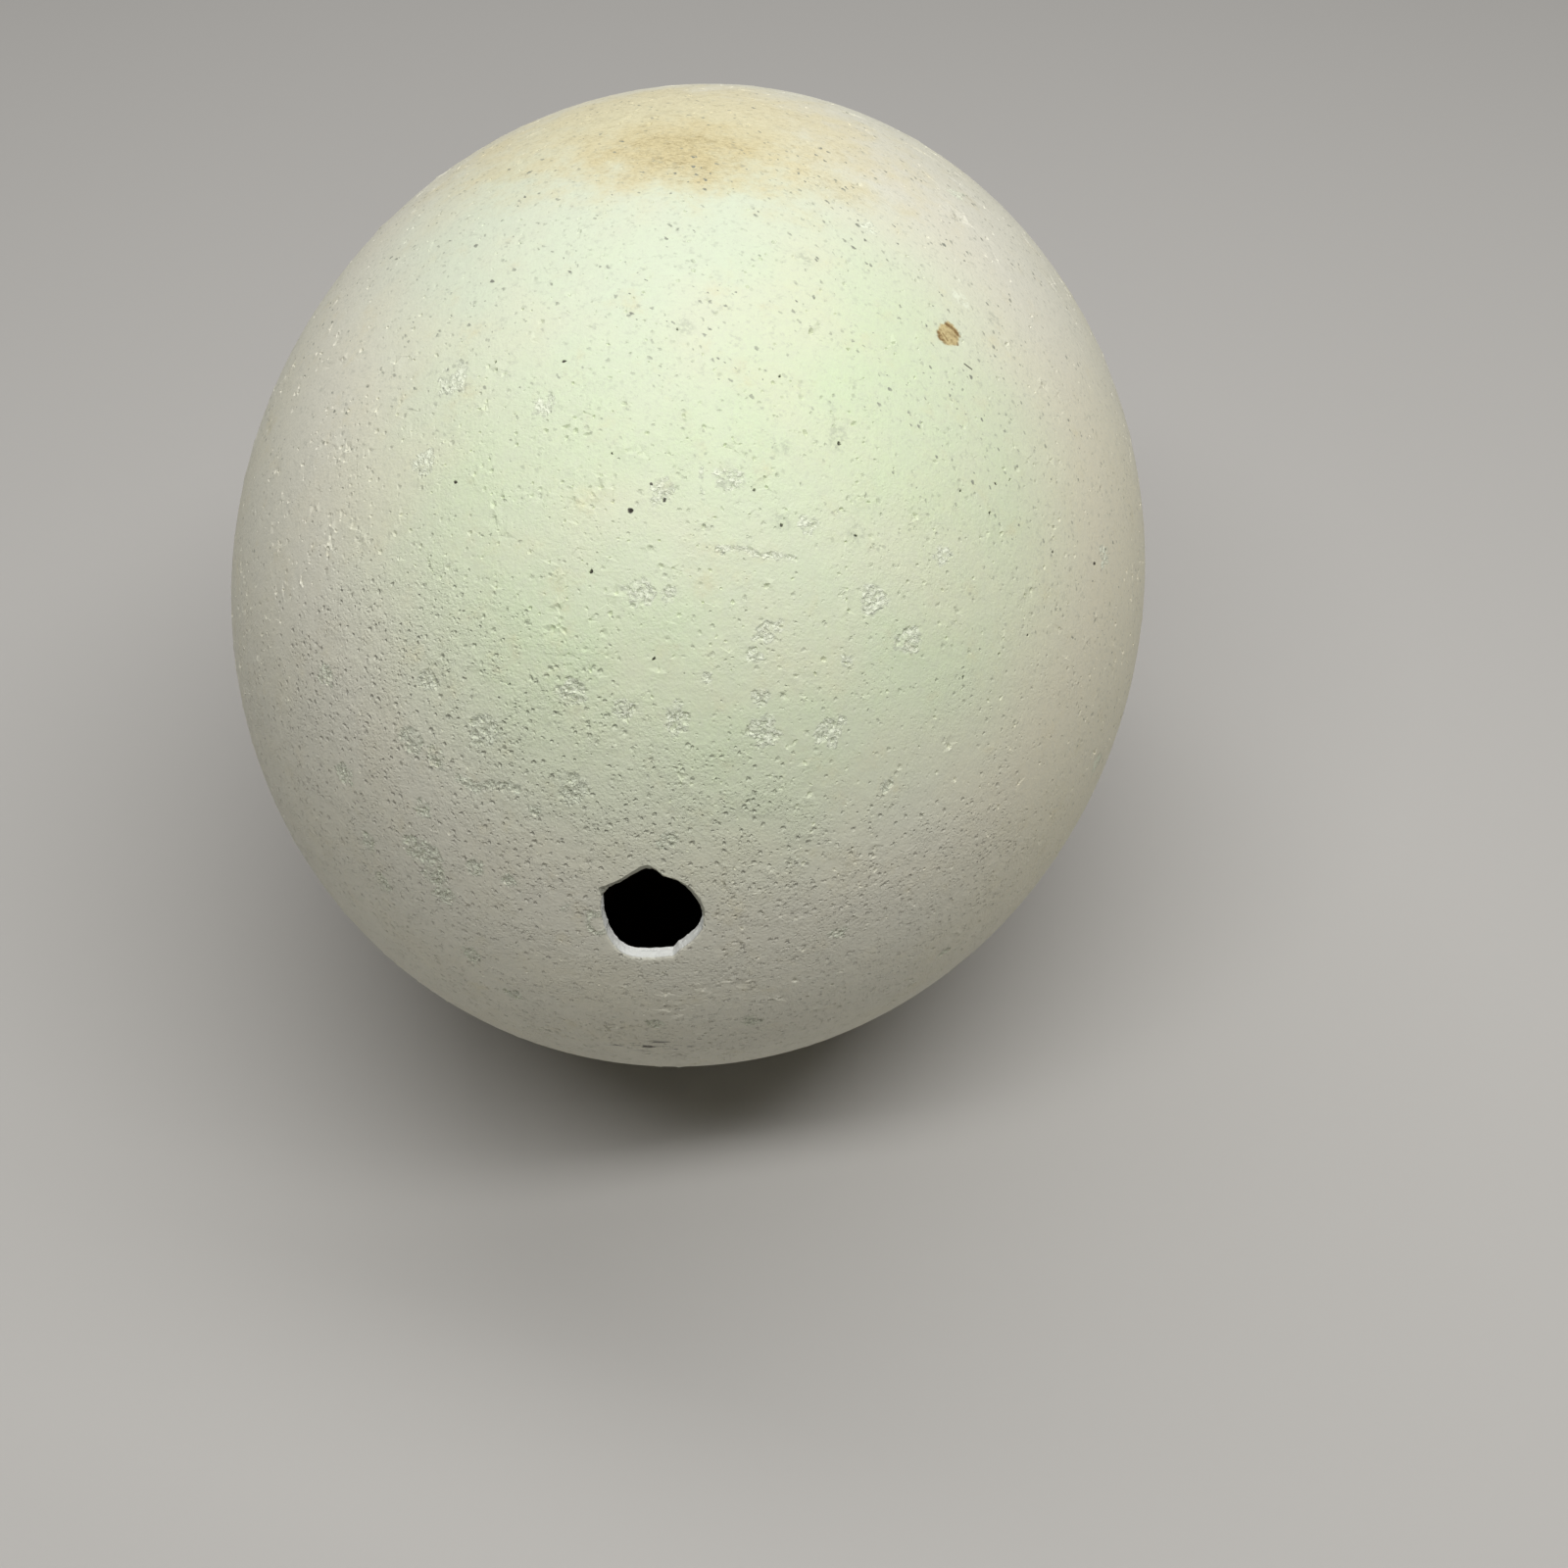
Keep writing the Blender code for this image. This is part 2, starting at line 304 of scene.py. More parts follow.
# The room: the floor's paper, the softboxes as (name, place, size, power), and the camera, in metres
PALE_PAPER = (0.50, 0.485, 0.46, 1)
ROOM_COLOUR = (1.0, 0.99, 0.97, 1)
ROOM_LIGHT = 0.06
SOFTBOXES = (
    ("front softbox", (0.08, -0.25, 0.72), (0.95, 0.12), 3.95),
    ("rear softbox", (0.04, 0.20, 0.76), (1.20, 0.24), 3.2),
)
LIT_PLACE = (0, 0, 0.06)
CAMERA_PLACE = (0.04513, -0.22843, 0.25909)
CAMERA_AIM = (-0.09852, 0.68519, -0.72168)
CAMERA_LENS = 48
CAMERA_SENSOR = 36

RNG = np.random.default_rng(7)


def profile_point(angle, depth=0.0):
    """Distance from the long axis and along it, at a depth below the outer surface."""
    radius = HALF_WIDTH * np.sin(angle) * (1 + BLUNTNESS * np.cos(angle))
    along = HALF_LENGTH * np.cos(angle)
    away, onward = profile_normal(angle)
    return radius - depth * away, along - depth * onward


def profile_normal(angle):
    """Outward unit normal of the profile: away from the long axis, and along it."""
    radius_slope = HALF_WIDTH * (np.cos(angle) + BLUNTNESS * np.cos(2 * angle))
    along_slope = -HALF_LENGTH * np.sin(angle)
    size = np.hypot(radius_slope, along_slope)
    return -along_slope / size, radius_slope / size


def unit_length(rows):
    return rows / np.linalg.norm(rows, axis=1)[:, None]


def clamp(value, high=1.0):
    return min(max(value, 0.0), high)


def blend(ends, share):
    return ends[0] + (ends[1] - ends[0]) * share


def egg_points(directions, depth=0.0):
    """Points of the shell for directions on a ball, at a depth below the outer surface."""
    angle = np.arccos(np.clip(-directions[:, 1], -1, 1))
    radius, along = profile_point(angle, depth + SKIN)
    sideways = directions[:, [0, 2]]
    sideways = sideways / np.maximum(np.linalg.norm(sideways, axis=1), 1e-9)[:, None]
    return np.column_stack((sideways[:, 0] * radius, -along, AXIS_HEIGHT + sideways[:, 1] * radius))


def ball_directions(points):
    """Directions on the ball for points near the shell."""
    taper = HALF_WIDTH * (1 - BLUNTNESS * points[:, 1] / HALF_LENGTH)
    x, y, z = points.T
    return unit_length(np.column_stack((x / taper, y / HALF_LENGTH, (z - AXIS_HEIGHT) / taper)))


def on_shell(angle, bearing):
    """Matrix of a place on the outer surface: Z points out of the shell, Y up along it."""
    angle, bearing = math.radians(angle), math.radians(bearing)
    radius, along = profile_point(angle)
    away, onward = profile_normal(angle)
    sideways = Vector((math.cos(bearing), 0, math.sin(bearing)))
    point = sideways * radius + Vector((0, -along, AXIS_HEIGHT))
    outward = sideways * away + Vector((0, -onward, 0))
    return Matrix.LocRotScale(point, outward.to_track_quat("Z", "Y"), None)


def values_of(items, name, kind=float, width=1):
    """One property of all the vertices, edges or faces."""
    values = np.empty(len(items) * width, dtype=kind)
    items.foreach_get(name, values)
    return values


def vertex_places(piece):
    return values_of(piece.data.vertices, "co", width=3).reshape(-1, 3)


def set_vertex_places(piece, places):
    piece.data.vertices.foreach_set("co", np.ascontiguousarray(places).ravel())
    piece.data.update()


def face_places(piece):
    return values_of(piece.data.polygons, "center", width=3).reshape(-1, 3)


def stop_editing():
    bpy.ops.object.mode_set(mode="OBJECT")


def pick(piece, domain, chosen):
    """Selects the chosen vertices, edges or faces and nothing else, in edit mode."""
    mode = {"vertices": "VERT", "edges": "EDGE", "polygons": "FACE"}[domain]
    bpy.context.view_layer.objects.active = piece
    bpy.ops.object.mode_set(mode="EDIT")
    bpy.ops.mesh.select_mode(type=mode)
    bpy.ops.mesh.select_all(action="DESELECT")
    stop_editing()
    getattr(piece.data, domain).foreach_set("select", np.asarray(chosen, dtype=bool))
    bpy.ops.object.mode_set(mode="EDIT")


def picked(piece, domain):
    """Which vertices, edges or faces are selected, back in object mode."""
    stop_editing()
    return values_of(getattr(piece.data, domain), "select", bool)


def to_triangles():
    bpy.ops.mesh.quads_convert_to_tris(quad_method="BEAUTY", ngon_method="BEAUTY")


def subdivide_where(ball, chosen):
    """Halves the chosen faces' edges and puts the new vertices back on the unit ball."""
    pick(ball, "polygons", chosen)
    bpy.ops.mesh.subdivide(number_cuts=1)
    bpy.ops.mesh.select_all(action="SELECT")
    to_triangles()
    stop_editing()
    set_vertex_places(ball, unit_length(vertex_places(ball)))


def face_edges(ball):
    """About how long the faces' edges are once the ball has the egg's size."""
    areas = values_of(ball.data.polygons, "area")
    return np.sqrt(areas * 4 / math.sqrt(3)) * HALF_WIDTH


def hole_outline():
    """The hole's outline as bearings round its centre and distances from it."""
    curve = bpy.data.curves.new("hole outline", "CURVE")
    curve.dimensions = "2D"
    curve.resolution_u = 24
    spline = curve.splines.new("BEZIER")
    spline.bezier_points.add(len(HOLE_OUTLINE) - 1)
    for point, (right, up, handle) in zip(spline.bezier_points, HOLE_OUTLINE):
        point.co = (right, up, 0)
        point.handle_left_type = handle
        point.handle_right_type = handle
    spline.use_cyclic_u = True
    outline = bpy.data.objects.new("hole outline", curve)
    bpy.context.scene.collection.objects.link(outline)
    bpy.context.view_layer.update()
    mesh = bpy.data.meshes.new_from_object(outline)
    points = np.array([vertex.co[:2] for vertex in mesh.vertices])
    bpy.data.meshes.remove(mesh)
    bpy.data.objects.remove(outline)
    turn = np.arctan2(points[:, 1], points[:, 0])
    order = np.argsort(turn)
    return turn[order], np.linalg.norm(points, axis=1)[order]


OUTLINE_TURNS, OUTLINE_REACHES = hole_outline()
HOLE_PLACE = on_shell(HOLE_ANGLE, HOLE_BEARING)


def hole_reach(turns):
    """How far the hole's edge lies from its centre, at turns round it."""
    return np.interp(turns, OUTLINE_TURNS, OUTLINE_REACHES, period=2 * math.pi)


def round_the_hole(places):
    """For each place its turn round the hole's centre, and its distance outside the hole's edge."""
    inverse = np.array(HOLE_PLACE.inverted())
    local = places @ inverse[:3, :3].T + inverse[:3, 3]
    turns = np.arctan2(local[:, 1], local[:, 0])
    outside = np.hypot(local[:, 0], local[:, 1]) - hole_reach(turns)
    outside[np.abs(local[:, 2]) > HOLE_SIDE] = FAR
    return turns, outside


def beside_the_hole(turns, outside, depth):
    """Places at turns round the hole, at a distance outside its edge and a depth in the shell."""
    reach = hole_reach(turns) + outside
    local = np.column_stack((np.cos(turns) * reach, np.sin(turns) * reach, np.zeros(len(turns))))
    matrix = np.array(HOLE_PLACE)
    return egg_points(ball_directions(local @ matrix[:3, :3].T + matrix[:3, 3]), depth)


def scratch_spots():
    """Small round places that follow one another along the scratches."""
    spots = []
    for width, places in SCRATCHES:
        for (angle, bearing), (next_angle, next_bearing) in zip(places, places[1:]):
            start = on_shell(angle, bearing).translation
            gap = on_shell(next_angle, next_bearing).translation - start
            steps = math.ceil(gap.length / SCRATCH_STEP)
            for share in np.linspace(0, 1, steps, endpoint=False):
                between = blend((angle, next_angle), share), blend((bearing, next_bearing), share)
                spots.append((*between, width))
    return tuple(spots)


def scar_places():
    broken = SCARS + ROUGH_SPOTS + scratch_spots()
    spots = [on_shell(angle, bearing).translation[:] for angle, bearing, width in broken]
    return np.array(spots), np.array([width / 2 for angle, bearing, width in broken])


SCAR_SPOTS, SCAR_REACHES = scar_places()


def inside_scars(places, margin=0.0):
    """How far inside the nearest scar's edge each place is, with a margin added round the scars."""
    return nearest_scars(places)[0] + margin


def nearest_scars(places):
    """How far inside the nearest scar's edge each place is, and that scar's reach."""
    gap = np.linalg.norm(places[:, None, :] - SCAR_SPOTS[None, :, :], axis=2)
    inside = SCAR_REACHES[None, :] - gap
    return inside.max(axis=1), SCAR_REACHES[inside.argmax(axis=1)]


def blunt_side(places):
    """0 at the pointed pole and 1 at the blunt pole, along the egg."""
    return 0.5 - places[:, 1] / HALF_LENGTH / 2


def start_outer_ball():
    """A ball whose faces are small where the shell has its detail."""
    bpy.ops.mesh.primitive_ico_sphere_add(subdivisions=6, radius=1)
    ball = bpy.context.object
    subdivide_where(ball, blunt_side(egg_points(face_places(ball))) > HALVED_SIDE)
    subdivide_where(ball, crowding(egg_points(unit_length(face_places(ball)))) > HALVED_CROWD)
    pick(ball, "vertices", np.ones(len(ball.data.vertices)))
    bpy.ops.transform.vertex_random(offset=UNEVENNESS, uniform=1, normal=0, seed=3)
    stop_editing()
    for _ in range(5):
        places = egg_points(unit_length(face_places(ball)))
        coarse = face_edges(ball) > FINE_EDGE
        outside = round_the_hole(places)[1]
        beside = (outside > FINE_HOLE_BAND[0]) & (outside < FINE_HOLE_BAND[1])
        wanted = (inside_scars(places, FINE_SCAR_MARGIN) > 0) | beside
        if not (coarse & wanted).any():
            break
        subdivide_where(ball, coarse & wanted)
    return ball


def attribute_values(piece, name):
    return values_of(piece.data.attributes[name].data, "value", np.float32)


def set_attribute_values(piece, name, values):
    piece.data.attributes[name].data.foreach_set("value", np.asarray(values, dtype=np.float32))


def shortest_edges(piece):
    """The shortest edge at each vertex."""
    places = vertex_places(piece)
    ends = values_of(piece.data.edges, "vertices", np.int64, width=2).reshape(-1, 2)
    lengths = np.linalg.norm(places[ends[:, 0]] - places[ends[:, 1]], axis=1)
    shortest = np.full(len(places), FAR)
    np.minimum.at(shortest, ends[:, 0], lengths)
    np.minimum.at(shortest, ends[:, 1], lengths)
    return shortest


def clumps(places, size, seed):
    """Soft noise over the shell, about 0 on average."""
    shift = Vector((seed * 17.3, seed * 5.1, seed * 9.7))
    return np.array([noise.noise(Vector(place) / size + shift) for place in places])


def crowding(places):
    """How thickly the pits stand, up to 1 low on the left of the blunt end."""
    middle = ball_directions(np.array([on_shell(*PITS_CROWD).translation[:]]))[0]
    nearness = np.clip(ball_directions(places) @ middle / 0.92, 0, 1)
    return PITS_FEWEST + (1 - PITS_FEWEST) * nearness ** 5


def reshape_pits(shell, rings, seats, room):
    """Makes the round pits oval, slanted and uneven, each within its own room."""
    tree = kdtree.KDTree(len(seats))
    for index, seat in enumerate(seats):
        tree.insert(seat, index)
    tree.balance()
    places = vertex_places(shell)
    for face in np.flatnonzero(rings):
        corners = list(shell.data.polygons[face].vertices)
        centre = places[corners].mean(axis=0)
        arms = places[corners] - centre
        way = RNG.normal(size=3)
        way -= way @ arms[0] * arms[0] / (arms[0] @ arms[0]) * RNG.uniform(0, 1)
        way /= np.linalg.norm(way)
        stretch = RNG.uniform(*PIT_STRETCH)
        arms = arms + (stretch - 1) * (arms @ way)[:, None] * way
        uneven = RNG.uniform(*PIT_RIM_WANDER, len(corners))[:, None]
        arms *= uneven * RNG.uniform(*PIT_WIDTH_SHARE) / math.sqrt(stretch)
        reach = room[tree.find(centre)[1]] * PIT_CLEARANCE
        lengths = np.linalg.norm(arms, axis=1)
        arms *= np.minimum(1, reach / lengths)[:, None]
        places[corners] = centre + arms
    set_vertex_places(shell, places)


def sink_floors(shell, floors, depth, black):
    """Gives every pit's floor its own depth, and its share of dirt."""
    places = vertex_places(shell)
    pits = attribute_values(shell, "pit")
    few = np.clip(1.3 - 2.5 * crowding(face_places(shell)), 0, 1)  # 1 far from the crowd of pits
    for face in np.flatnonzero(floors):
        polygon = shell.data.polygons[face]
        corners = list(polygon.vertices)
        level = RNG.uniform(*PIT_FLOOR_SPREAD)
        extra = depth * (level + RNG.uniform(-PIT_FLOOR_TILT, PIT_FLOOR_TILT, len(corners)))
        extra -= depth * blend(PIT_RAISE, few[face])
        centre = places[corners].mean(axis=0)
        if not black:
            places[corners] = centre + (places[corners] - centre) * RNG.uniform(*PIT_FLOOR_SHARE)
        places[corners] -= extra[:, None] * np.array(polygon.normal)
        dirt = PIT_MORE_DIRT * RNG.random() ** blend(PIT_DIRT_POWER, few[face])
        dirt += blend(PIT_LEAST_DIRT, few[face])
        pits[corners] = RNG.uniform(*BLACK_PORE_DIRT) if black else dirt
    set_vertex_places(shell, places)
    set_attribute_values(shell, "pit", pits)


def sink_pits(shell, radius, depth, wanted):
    """Opens pits at about the wanted number to a square centimetre where they crowd."""
    places = vertex_places(shell)
    shortest = shortest_edges(shell)
    room = shortest > radius * PIT_ROOM
    room &= inside_scars(places, PIT_SCAR_GAP) < 0
    room &= np.abs(round_the_hole(places)[1]) > PIT_HOLE_GAP
    drifts = sum(strength * clumps(places, size, seed) for strength, size, seed in PIT_DRIFTS)
    lumpy = np.exp(drifts - 0.2)
    area = shortest ** 2 / 100 * 1.1  # round each vertex, in square centimetres
    chosen = room & (RNG.random(len(places)) < wanted * crowding(places) * lumpy * area)
    cut_pits(shell, chosen, radius, depth, black=False)


def sink_black_pores(shell):
    """Opens a pore at each of the named places, on the nearest vertex."""
    places = vertex_places(shell)
    chosen = np.zeros(len(places), dtype=bool)
    for angle, bearing in BLACK_PORES:
        spot = np.array(on_shell(angle, bearing).translation[:])
        nearest = np.linalg.norm(places - spot, axis=1).argmin()
        places[nearest] = spot
        chosen[nearest] = True
    places[chosen] = egg_points(ball_directions(places[chosen]))
    set_vertex_places(shell, places)
    cut_pits(shell, chosen, BLACK_PORE_RADIUS, BLACK_PORE_DEPTH, black=True)


def cut_pits(shell, chosen, radius, depth, black):
    """Cuts an uneven pit at each chosen vertex."""
    seats = vertex_places(shell)[chosen]
    room = shortest_edges(shell)[chosen]
    pick(shell, "vertices", chosen)
    bpy.ops.mesh.bevel(offset=radius, segments=1, affect="VERTICES", clamp_overlap=False)
    bpy.ops.mesh.select_mode(type="FACE")
    rings = picked(shell, "polygons")
    reshape_pits(shell, rings, seats, room)
    pick(shell, "polygons", rings)
    bpy.ops.mesh.inset(
        thickness=radius * PIT_WALL_SHARE, depth=-depth, use_individual=True, use_even_offset=False
    )
    floors = picked(shell, "polygons")
    sink_floors(shell, floors, depth, black)
    pick(shell, "polygons", np.ones(len(shell.data.polygons)))
    to_triangles()
    stop_editing()


def open_hole(shell):
    """Clears the hole's faces and a margin round them."""
    outside = round_the_hole(vertex_places(shell))[1]
    pick(shell, "vertices", outside < HOLE_MARGIN - 0.1)
    bpy.ops.mesh.delete(type="VERT")
    stop_editing()


def rim_loop(shell):
    """The vertices round the open edge, in order."""
    pick_open_edge(shell)
    open_edges = picked(shell, "edges")
    partners = {}
    for edge in np.flatnonzero(open_edges):
        first, second = shell.data.edges[edge].vertices
        partners.setdefault(first, []).append(second)
        partners.setdefault(second, []).append(first)
    loop = [min(partners)]
    previous = None
    while True:
        following = [v for v in partners[loop[-1]] if v != previous]
        previous = loop[-1]
        if following[0] == loop[0] or (len(loop) > 2 and loop[0] in following):
            break
        loop.append(following[0])
    return np.array(loop)


def smooth_turns(turns):
    """Turns round the hole, evened out so that they only run one way."""
    turns = np.unwrap(turns)
    whole = 2 * math.pi * np.sign(turns[-1] - turns[0])
    for _ in range(30):
        before = np.concatenate(([turns[-1] - whole], turns[:-1]))
        after = np.concatenate((turns[1:], [turns[0] + whole]))
        turns = turns / 2 + (before + after) / 4
    return turns


def draw_rim(shell, margin, depth):
    """Moves the open edge to a smooth line round the hole and lets the faces beside it follow."""
    loop = rim_loop(shell)
    places = vertex_places(shell)
    turns = smooth_turns(round_the_hole(places[loop])[0])
    places[loop] = beside_the_hole(turns, np.full(len(loop), margin), depth)
    set_vertex_places(shell, places)
    outside = round_the_hole(places)[1]
    beside = outside < margin + FOLLOWING_BAND
    beside[loop] = False
    pick(shell, "vertices", beside)
    bpy.ops.mesh.vertices_smooth(factor=0.5, repeat=4)
    stop_editing()
    places = vertex_places(shell)
    places[beside] = egg_points(ball_directions(places[beside]), depth)
    set_vertex_places(shell, places)


def lip_reach(turns):
    """How far the lip slopes into the hole, at turns round it."""
    places = np.radians([turn for turn, reach in LIP_REACHES])
    return np.interp(turns, places, [reach for turn, reach in LIP_REACHES], period=2 * math.pi)


def wander(turns, depth):
    """How the cut wanders at turns round the hole, about 0 on average."""
    rounds = [Vector((math.cos(turn), math.sin(turn), depth * 0.35)) for turn in turns]
    return np.array([noise.noise(place * 9.0) + 0.7 * noise.noise(place * 24.0) for place in rounds])


def extrude_rim(shell):
    """Carries the open edge on through the cut's rows."""
    for straight_outside, straight_depth, lip_outside, lip_depth, ragged in RIM_ROWS:
        pick_open_edge(shell)
        bpy.ops.mesh.extrude_edges_indiv()
        chosen = picked(shell, "vertices")
        places = vertex_places(shell)
        turns = round_the_hole(places[chosen])[0]
        lip = lip_reach(turns)
        share = np.clip(lip / 0.25, 0, 1)
        sloping = lip_outside * np.where(lip_outside < 0, lip, 1)
        outside = straight_outside * (1 - share) + sloping * share
        outside += ragged * wander(turns, straight_depth)
        depth = straight_depth * (1 - share) + lip_depth * share
        places[chosen] = beside_the_hole(turns, outside, depth)
        set_vertex_places(shell, places)


def pick_open_edge(shell):
    pick(shell, "vertices", np.zeros(len(shell.data.vertices)))
    bpy.ops.mesh.select_mode(type="EDGE")
    bpy.ops.mesh.select_non_manifold(
        extend=False, use_wire=False, use_multi_face=False, use_non_contiguous=False, use_verts=False
    )


def make_inner_ball():
    """The shell's inner surface, open at the hole."""
    bpy.ops.mesh.primitive_ico_sphere_add(subdivisions=4, radius=1)
    ball = bpy.context.object
    for _ in range(3):
        outside = round_the_hole(egg_points(unit_length(face_places(ball))))[1]
        subdivide_where(ball, np.abs(outside - 2.5) < 3.5)
    set_vertex_places(ball, egg_points(vertex_places(ball), SHELL_THICKNESS))
    outside = round_the_hole(face_places(ball))[1]
    pick(ball, "polygons", outside < INNER_MARGIN)
    bpy.ops.mesh.delete(type="FACE")
    bpy.ops.mesh.select_all(action="SELECT")
    bpy.ops.mesh.flip_normals()
    stop_editing()
    draw_rim(ball, INNER_MARGIN, SHELL_THICKNESS)
    return ball


def select_only(*pieces):
    """Selects these pieces, with the last as the active one."""
    bpy.ops.object.select_all(action="DESELECT")
    for piece in pieces:
        piece.select_set(True)
        bpy.context.view_layer.objects.active = piece


def join(shell, inner):
    select_only(inner, shell)
    bpy.ops.object.join()
    pick_open_edge(shell)
    bpy.ops.mesh.bridge_edge_loops()
    bpy.ops.mesh.select_all(action="SELECT")
    to_triangles()
    bpy.ops.mesh.normals_make_consistent(inside=False)
    stop_editing()


def apply_modifier(shell, modifier):
    bpy.context.view_layer.objects.active = shell
    bpy.ops.object.modifier_apply(modifier=modifier.name)


def scar_weights(places):
    """0 outside the scars, rising over a ragged edge to 1, or to less on the smoother side."""
    inside, reach = nearest_scars(places)
    weights = np.zeros(len(places))
    for index in np.flatnonzero(inside > -0.5):
        place = Vector(places[index])
        ragged = 0.7 * noise.noise(place / 1.1) + 0.3 * noise.noise(place / 0.45)
        ragged *= min(reach[index] / 0.8, 1.0)
        edge = clamp((inside[index] - 0.05 + ragged) / 0.2)
        left_whole = clamp(noise.noise(place / 0.9 + Vector((5, 0, 0))) / 0.15 - 0.6, 0.85)
        faint = clamp((place.y - BOLD_SCARS[0]) / (BOLD_SCARS[1] - BOLD_SCARS[0]))
        bold = blend((1, FAINT_SCARS), faint)
        weights[index] = bold * edge * (1 - left_whole * (reach[index] > 0.7))
    return weights


def roughen_scars(shell):
    """Sinks the scars and breaks up their floors."""
    weights = scar_weights(vertex_places(shell))
    group = shell.vertex_groups.new(name="scars")
    for index in np.flatnonzero(weights > 0):
        group.add([int(index)], float(weights[index]), "REPLACE")
    set_attribute_values(shell, "scar", np.minimum(weights * 3.6, 1))
    sink = shell.modifiers.new("sink the scars", "DISPLACE")
    sink.vertex_group = "scars"
    sink.mid_level = 0
    sink.strength = -SCAR_DEPTH
    apply_modifier(shell, sink)
    crumbs = bpy.data.textures.new("crumbs", "CLOUDS")
    crumbs.noise_scale = 0.55
    crumbs.noise_depth = 2
    crumbs.contrast = 1.9
    crumble = shell.modifiers.new("crumble the scars", "DISPLACE")
    crumble.vertex_group = "scars"
    crumble.texture = crumbs
    crumble.mid_level = 0.55
    crumble.strength = SCAR_ROUGHNESS
    apply_modifier(shell, crumble)
    shell.vertex_groups.clear()


def make_shell():
    shell = start_outer_ball()
    shell.name = "ostrich_eggshell"
    set_vertex_places(shell, egg_points(vertex_places(shell)))
    for name in SHELL_ATTRIBUTES:
        shell.data.attributes.new(name, "FLOAT", "POINT")
    sink_black_pores(shell)
    for radius, depth, wanted in PIT_SIZES:
        sink_pits(shell, radius, depth, wanted)
    open_hole(shell)
    draw_rim(shell, HOLE_MARGIN, 0.0)
    roughen_scars(shell)
    extrude_rim(shell)
    inner = make_inner_ball()
    join(shell, inner)
    mark_the_cut(shell)
    places = vertex_places(shell)
    low, high = np.array(shell_low) / MM, np.array(shell_high) / MM
    places = np.clip(places, low + (SKIN, SKIN, 0), high - SKIN / 2)
    set_vertex_places(shell, places * MM)
    select_only(shell)
    bpy.ops.object.shade_smooth_by_angle(angle=math.radians(SMOOTH_ANGLE))
    shell.data.materials.clear()
    shell.data.materials.append(eggshell_finish())
    return shell


def mark_the_cut(shell):
    """Tells the finish where the cut wall and the inside are, and where the hole's lip gets painted
    shade.
    """
    places = vertex_places(shell)
    surface = egg_points(ball_directions(places))
    depth = np.linalg.norm(surface - places, axis=1)
    turns, outside = round_the_hole(places)
    near = outside < CUT_MARGIN
    with_lip = lip_reach(turns) > 0.2
    start = np.where(with_lip, WALL_FROM[1], WALL_FROM[0])
    wall = np.clip((depth - start) / WALL_FADE, 0, 1) * near
    inside = (depth > SHELL_THICKNESS - 0.12) & (outside > 0.15)
    set_attribute_values(shell, "wall", wall * ~inside)
    # Painted shade on the sloping lip, carried in the pits' dirt mask
    lip = near & with_lip & (depth > LIP_DEPTHS[0]) & (depth < LIP_DEPTHS[1])
    set_attribute_values(shell, "pit", np.where(lip, LIP_SHADE, attribute_values(shell, "pit")))
    set_attribute_values(shell, "inside", inside)


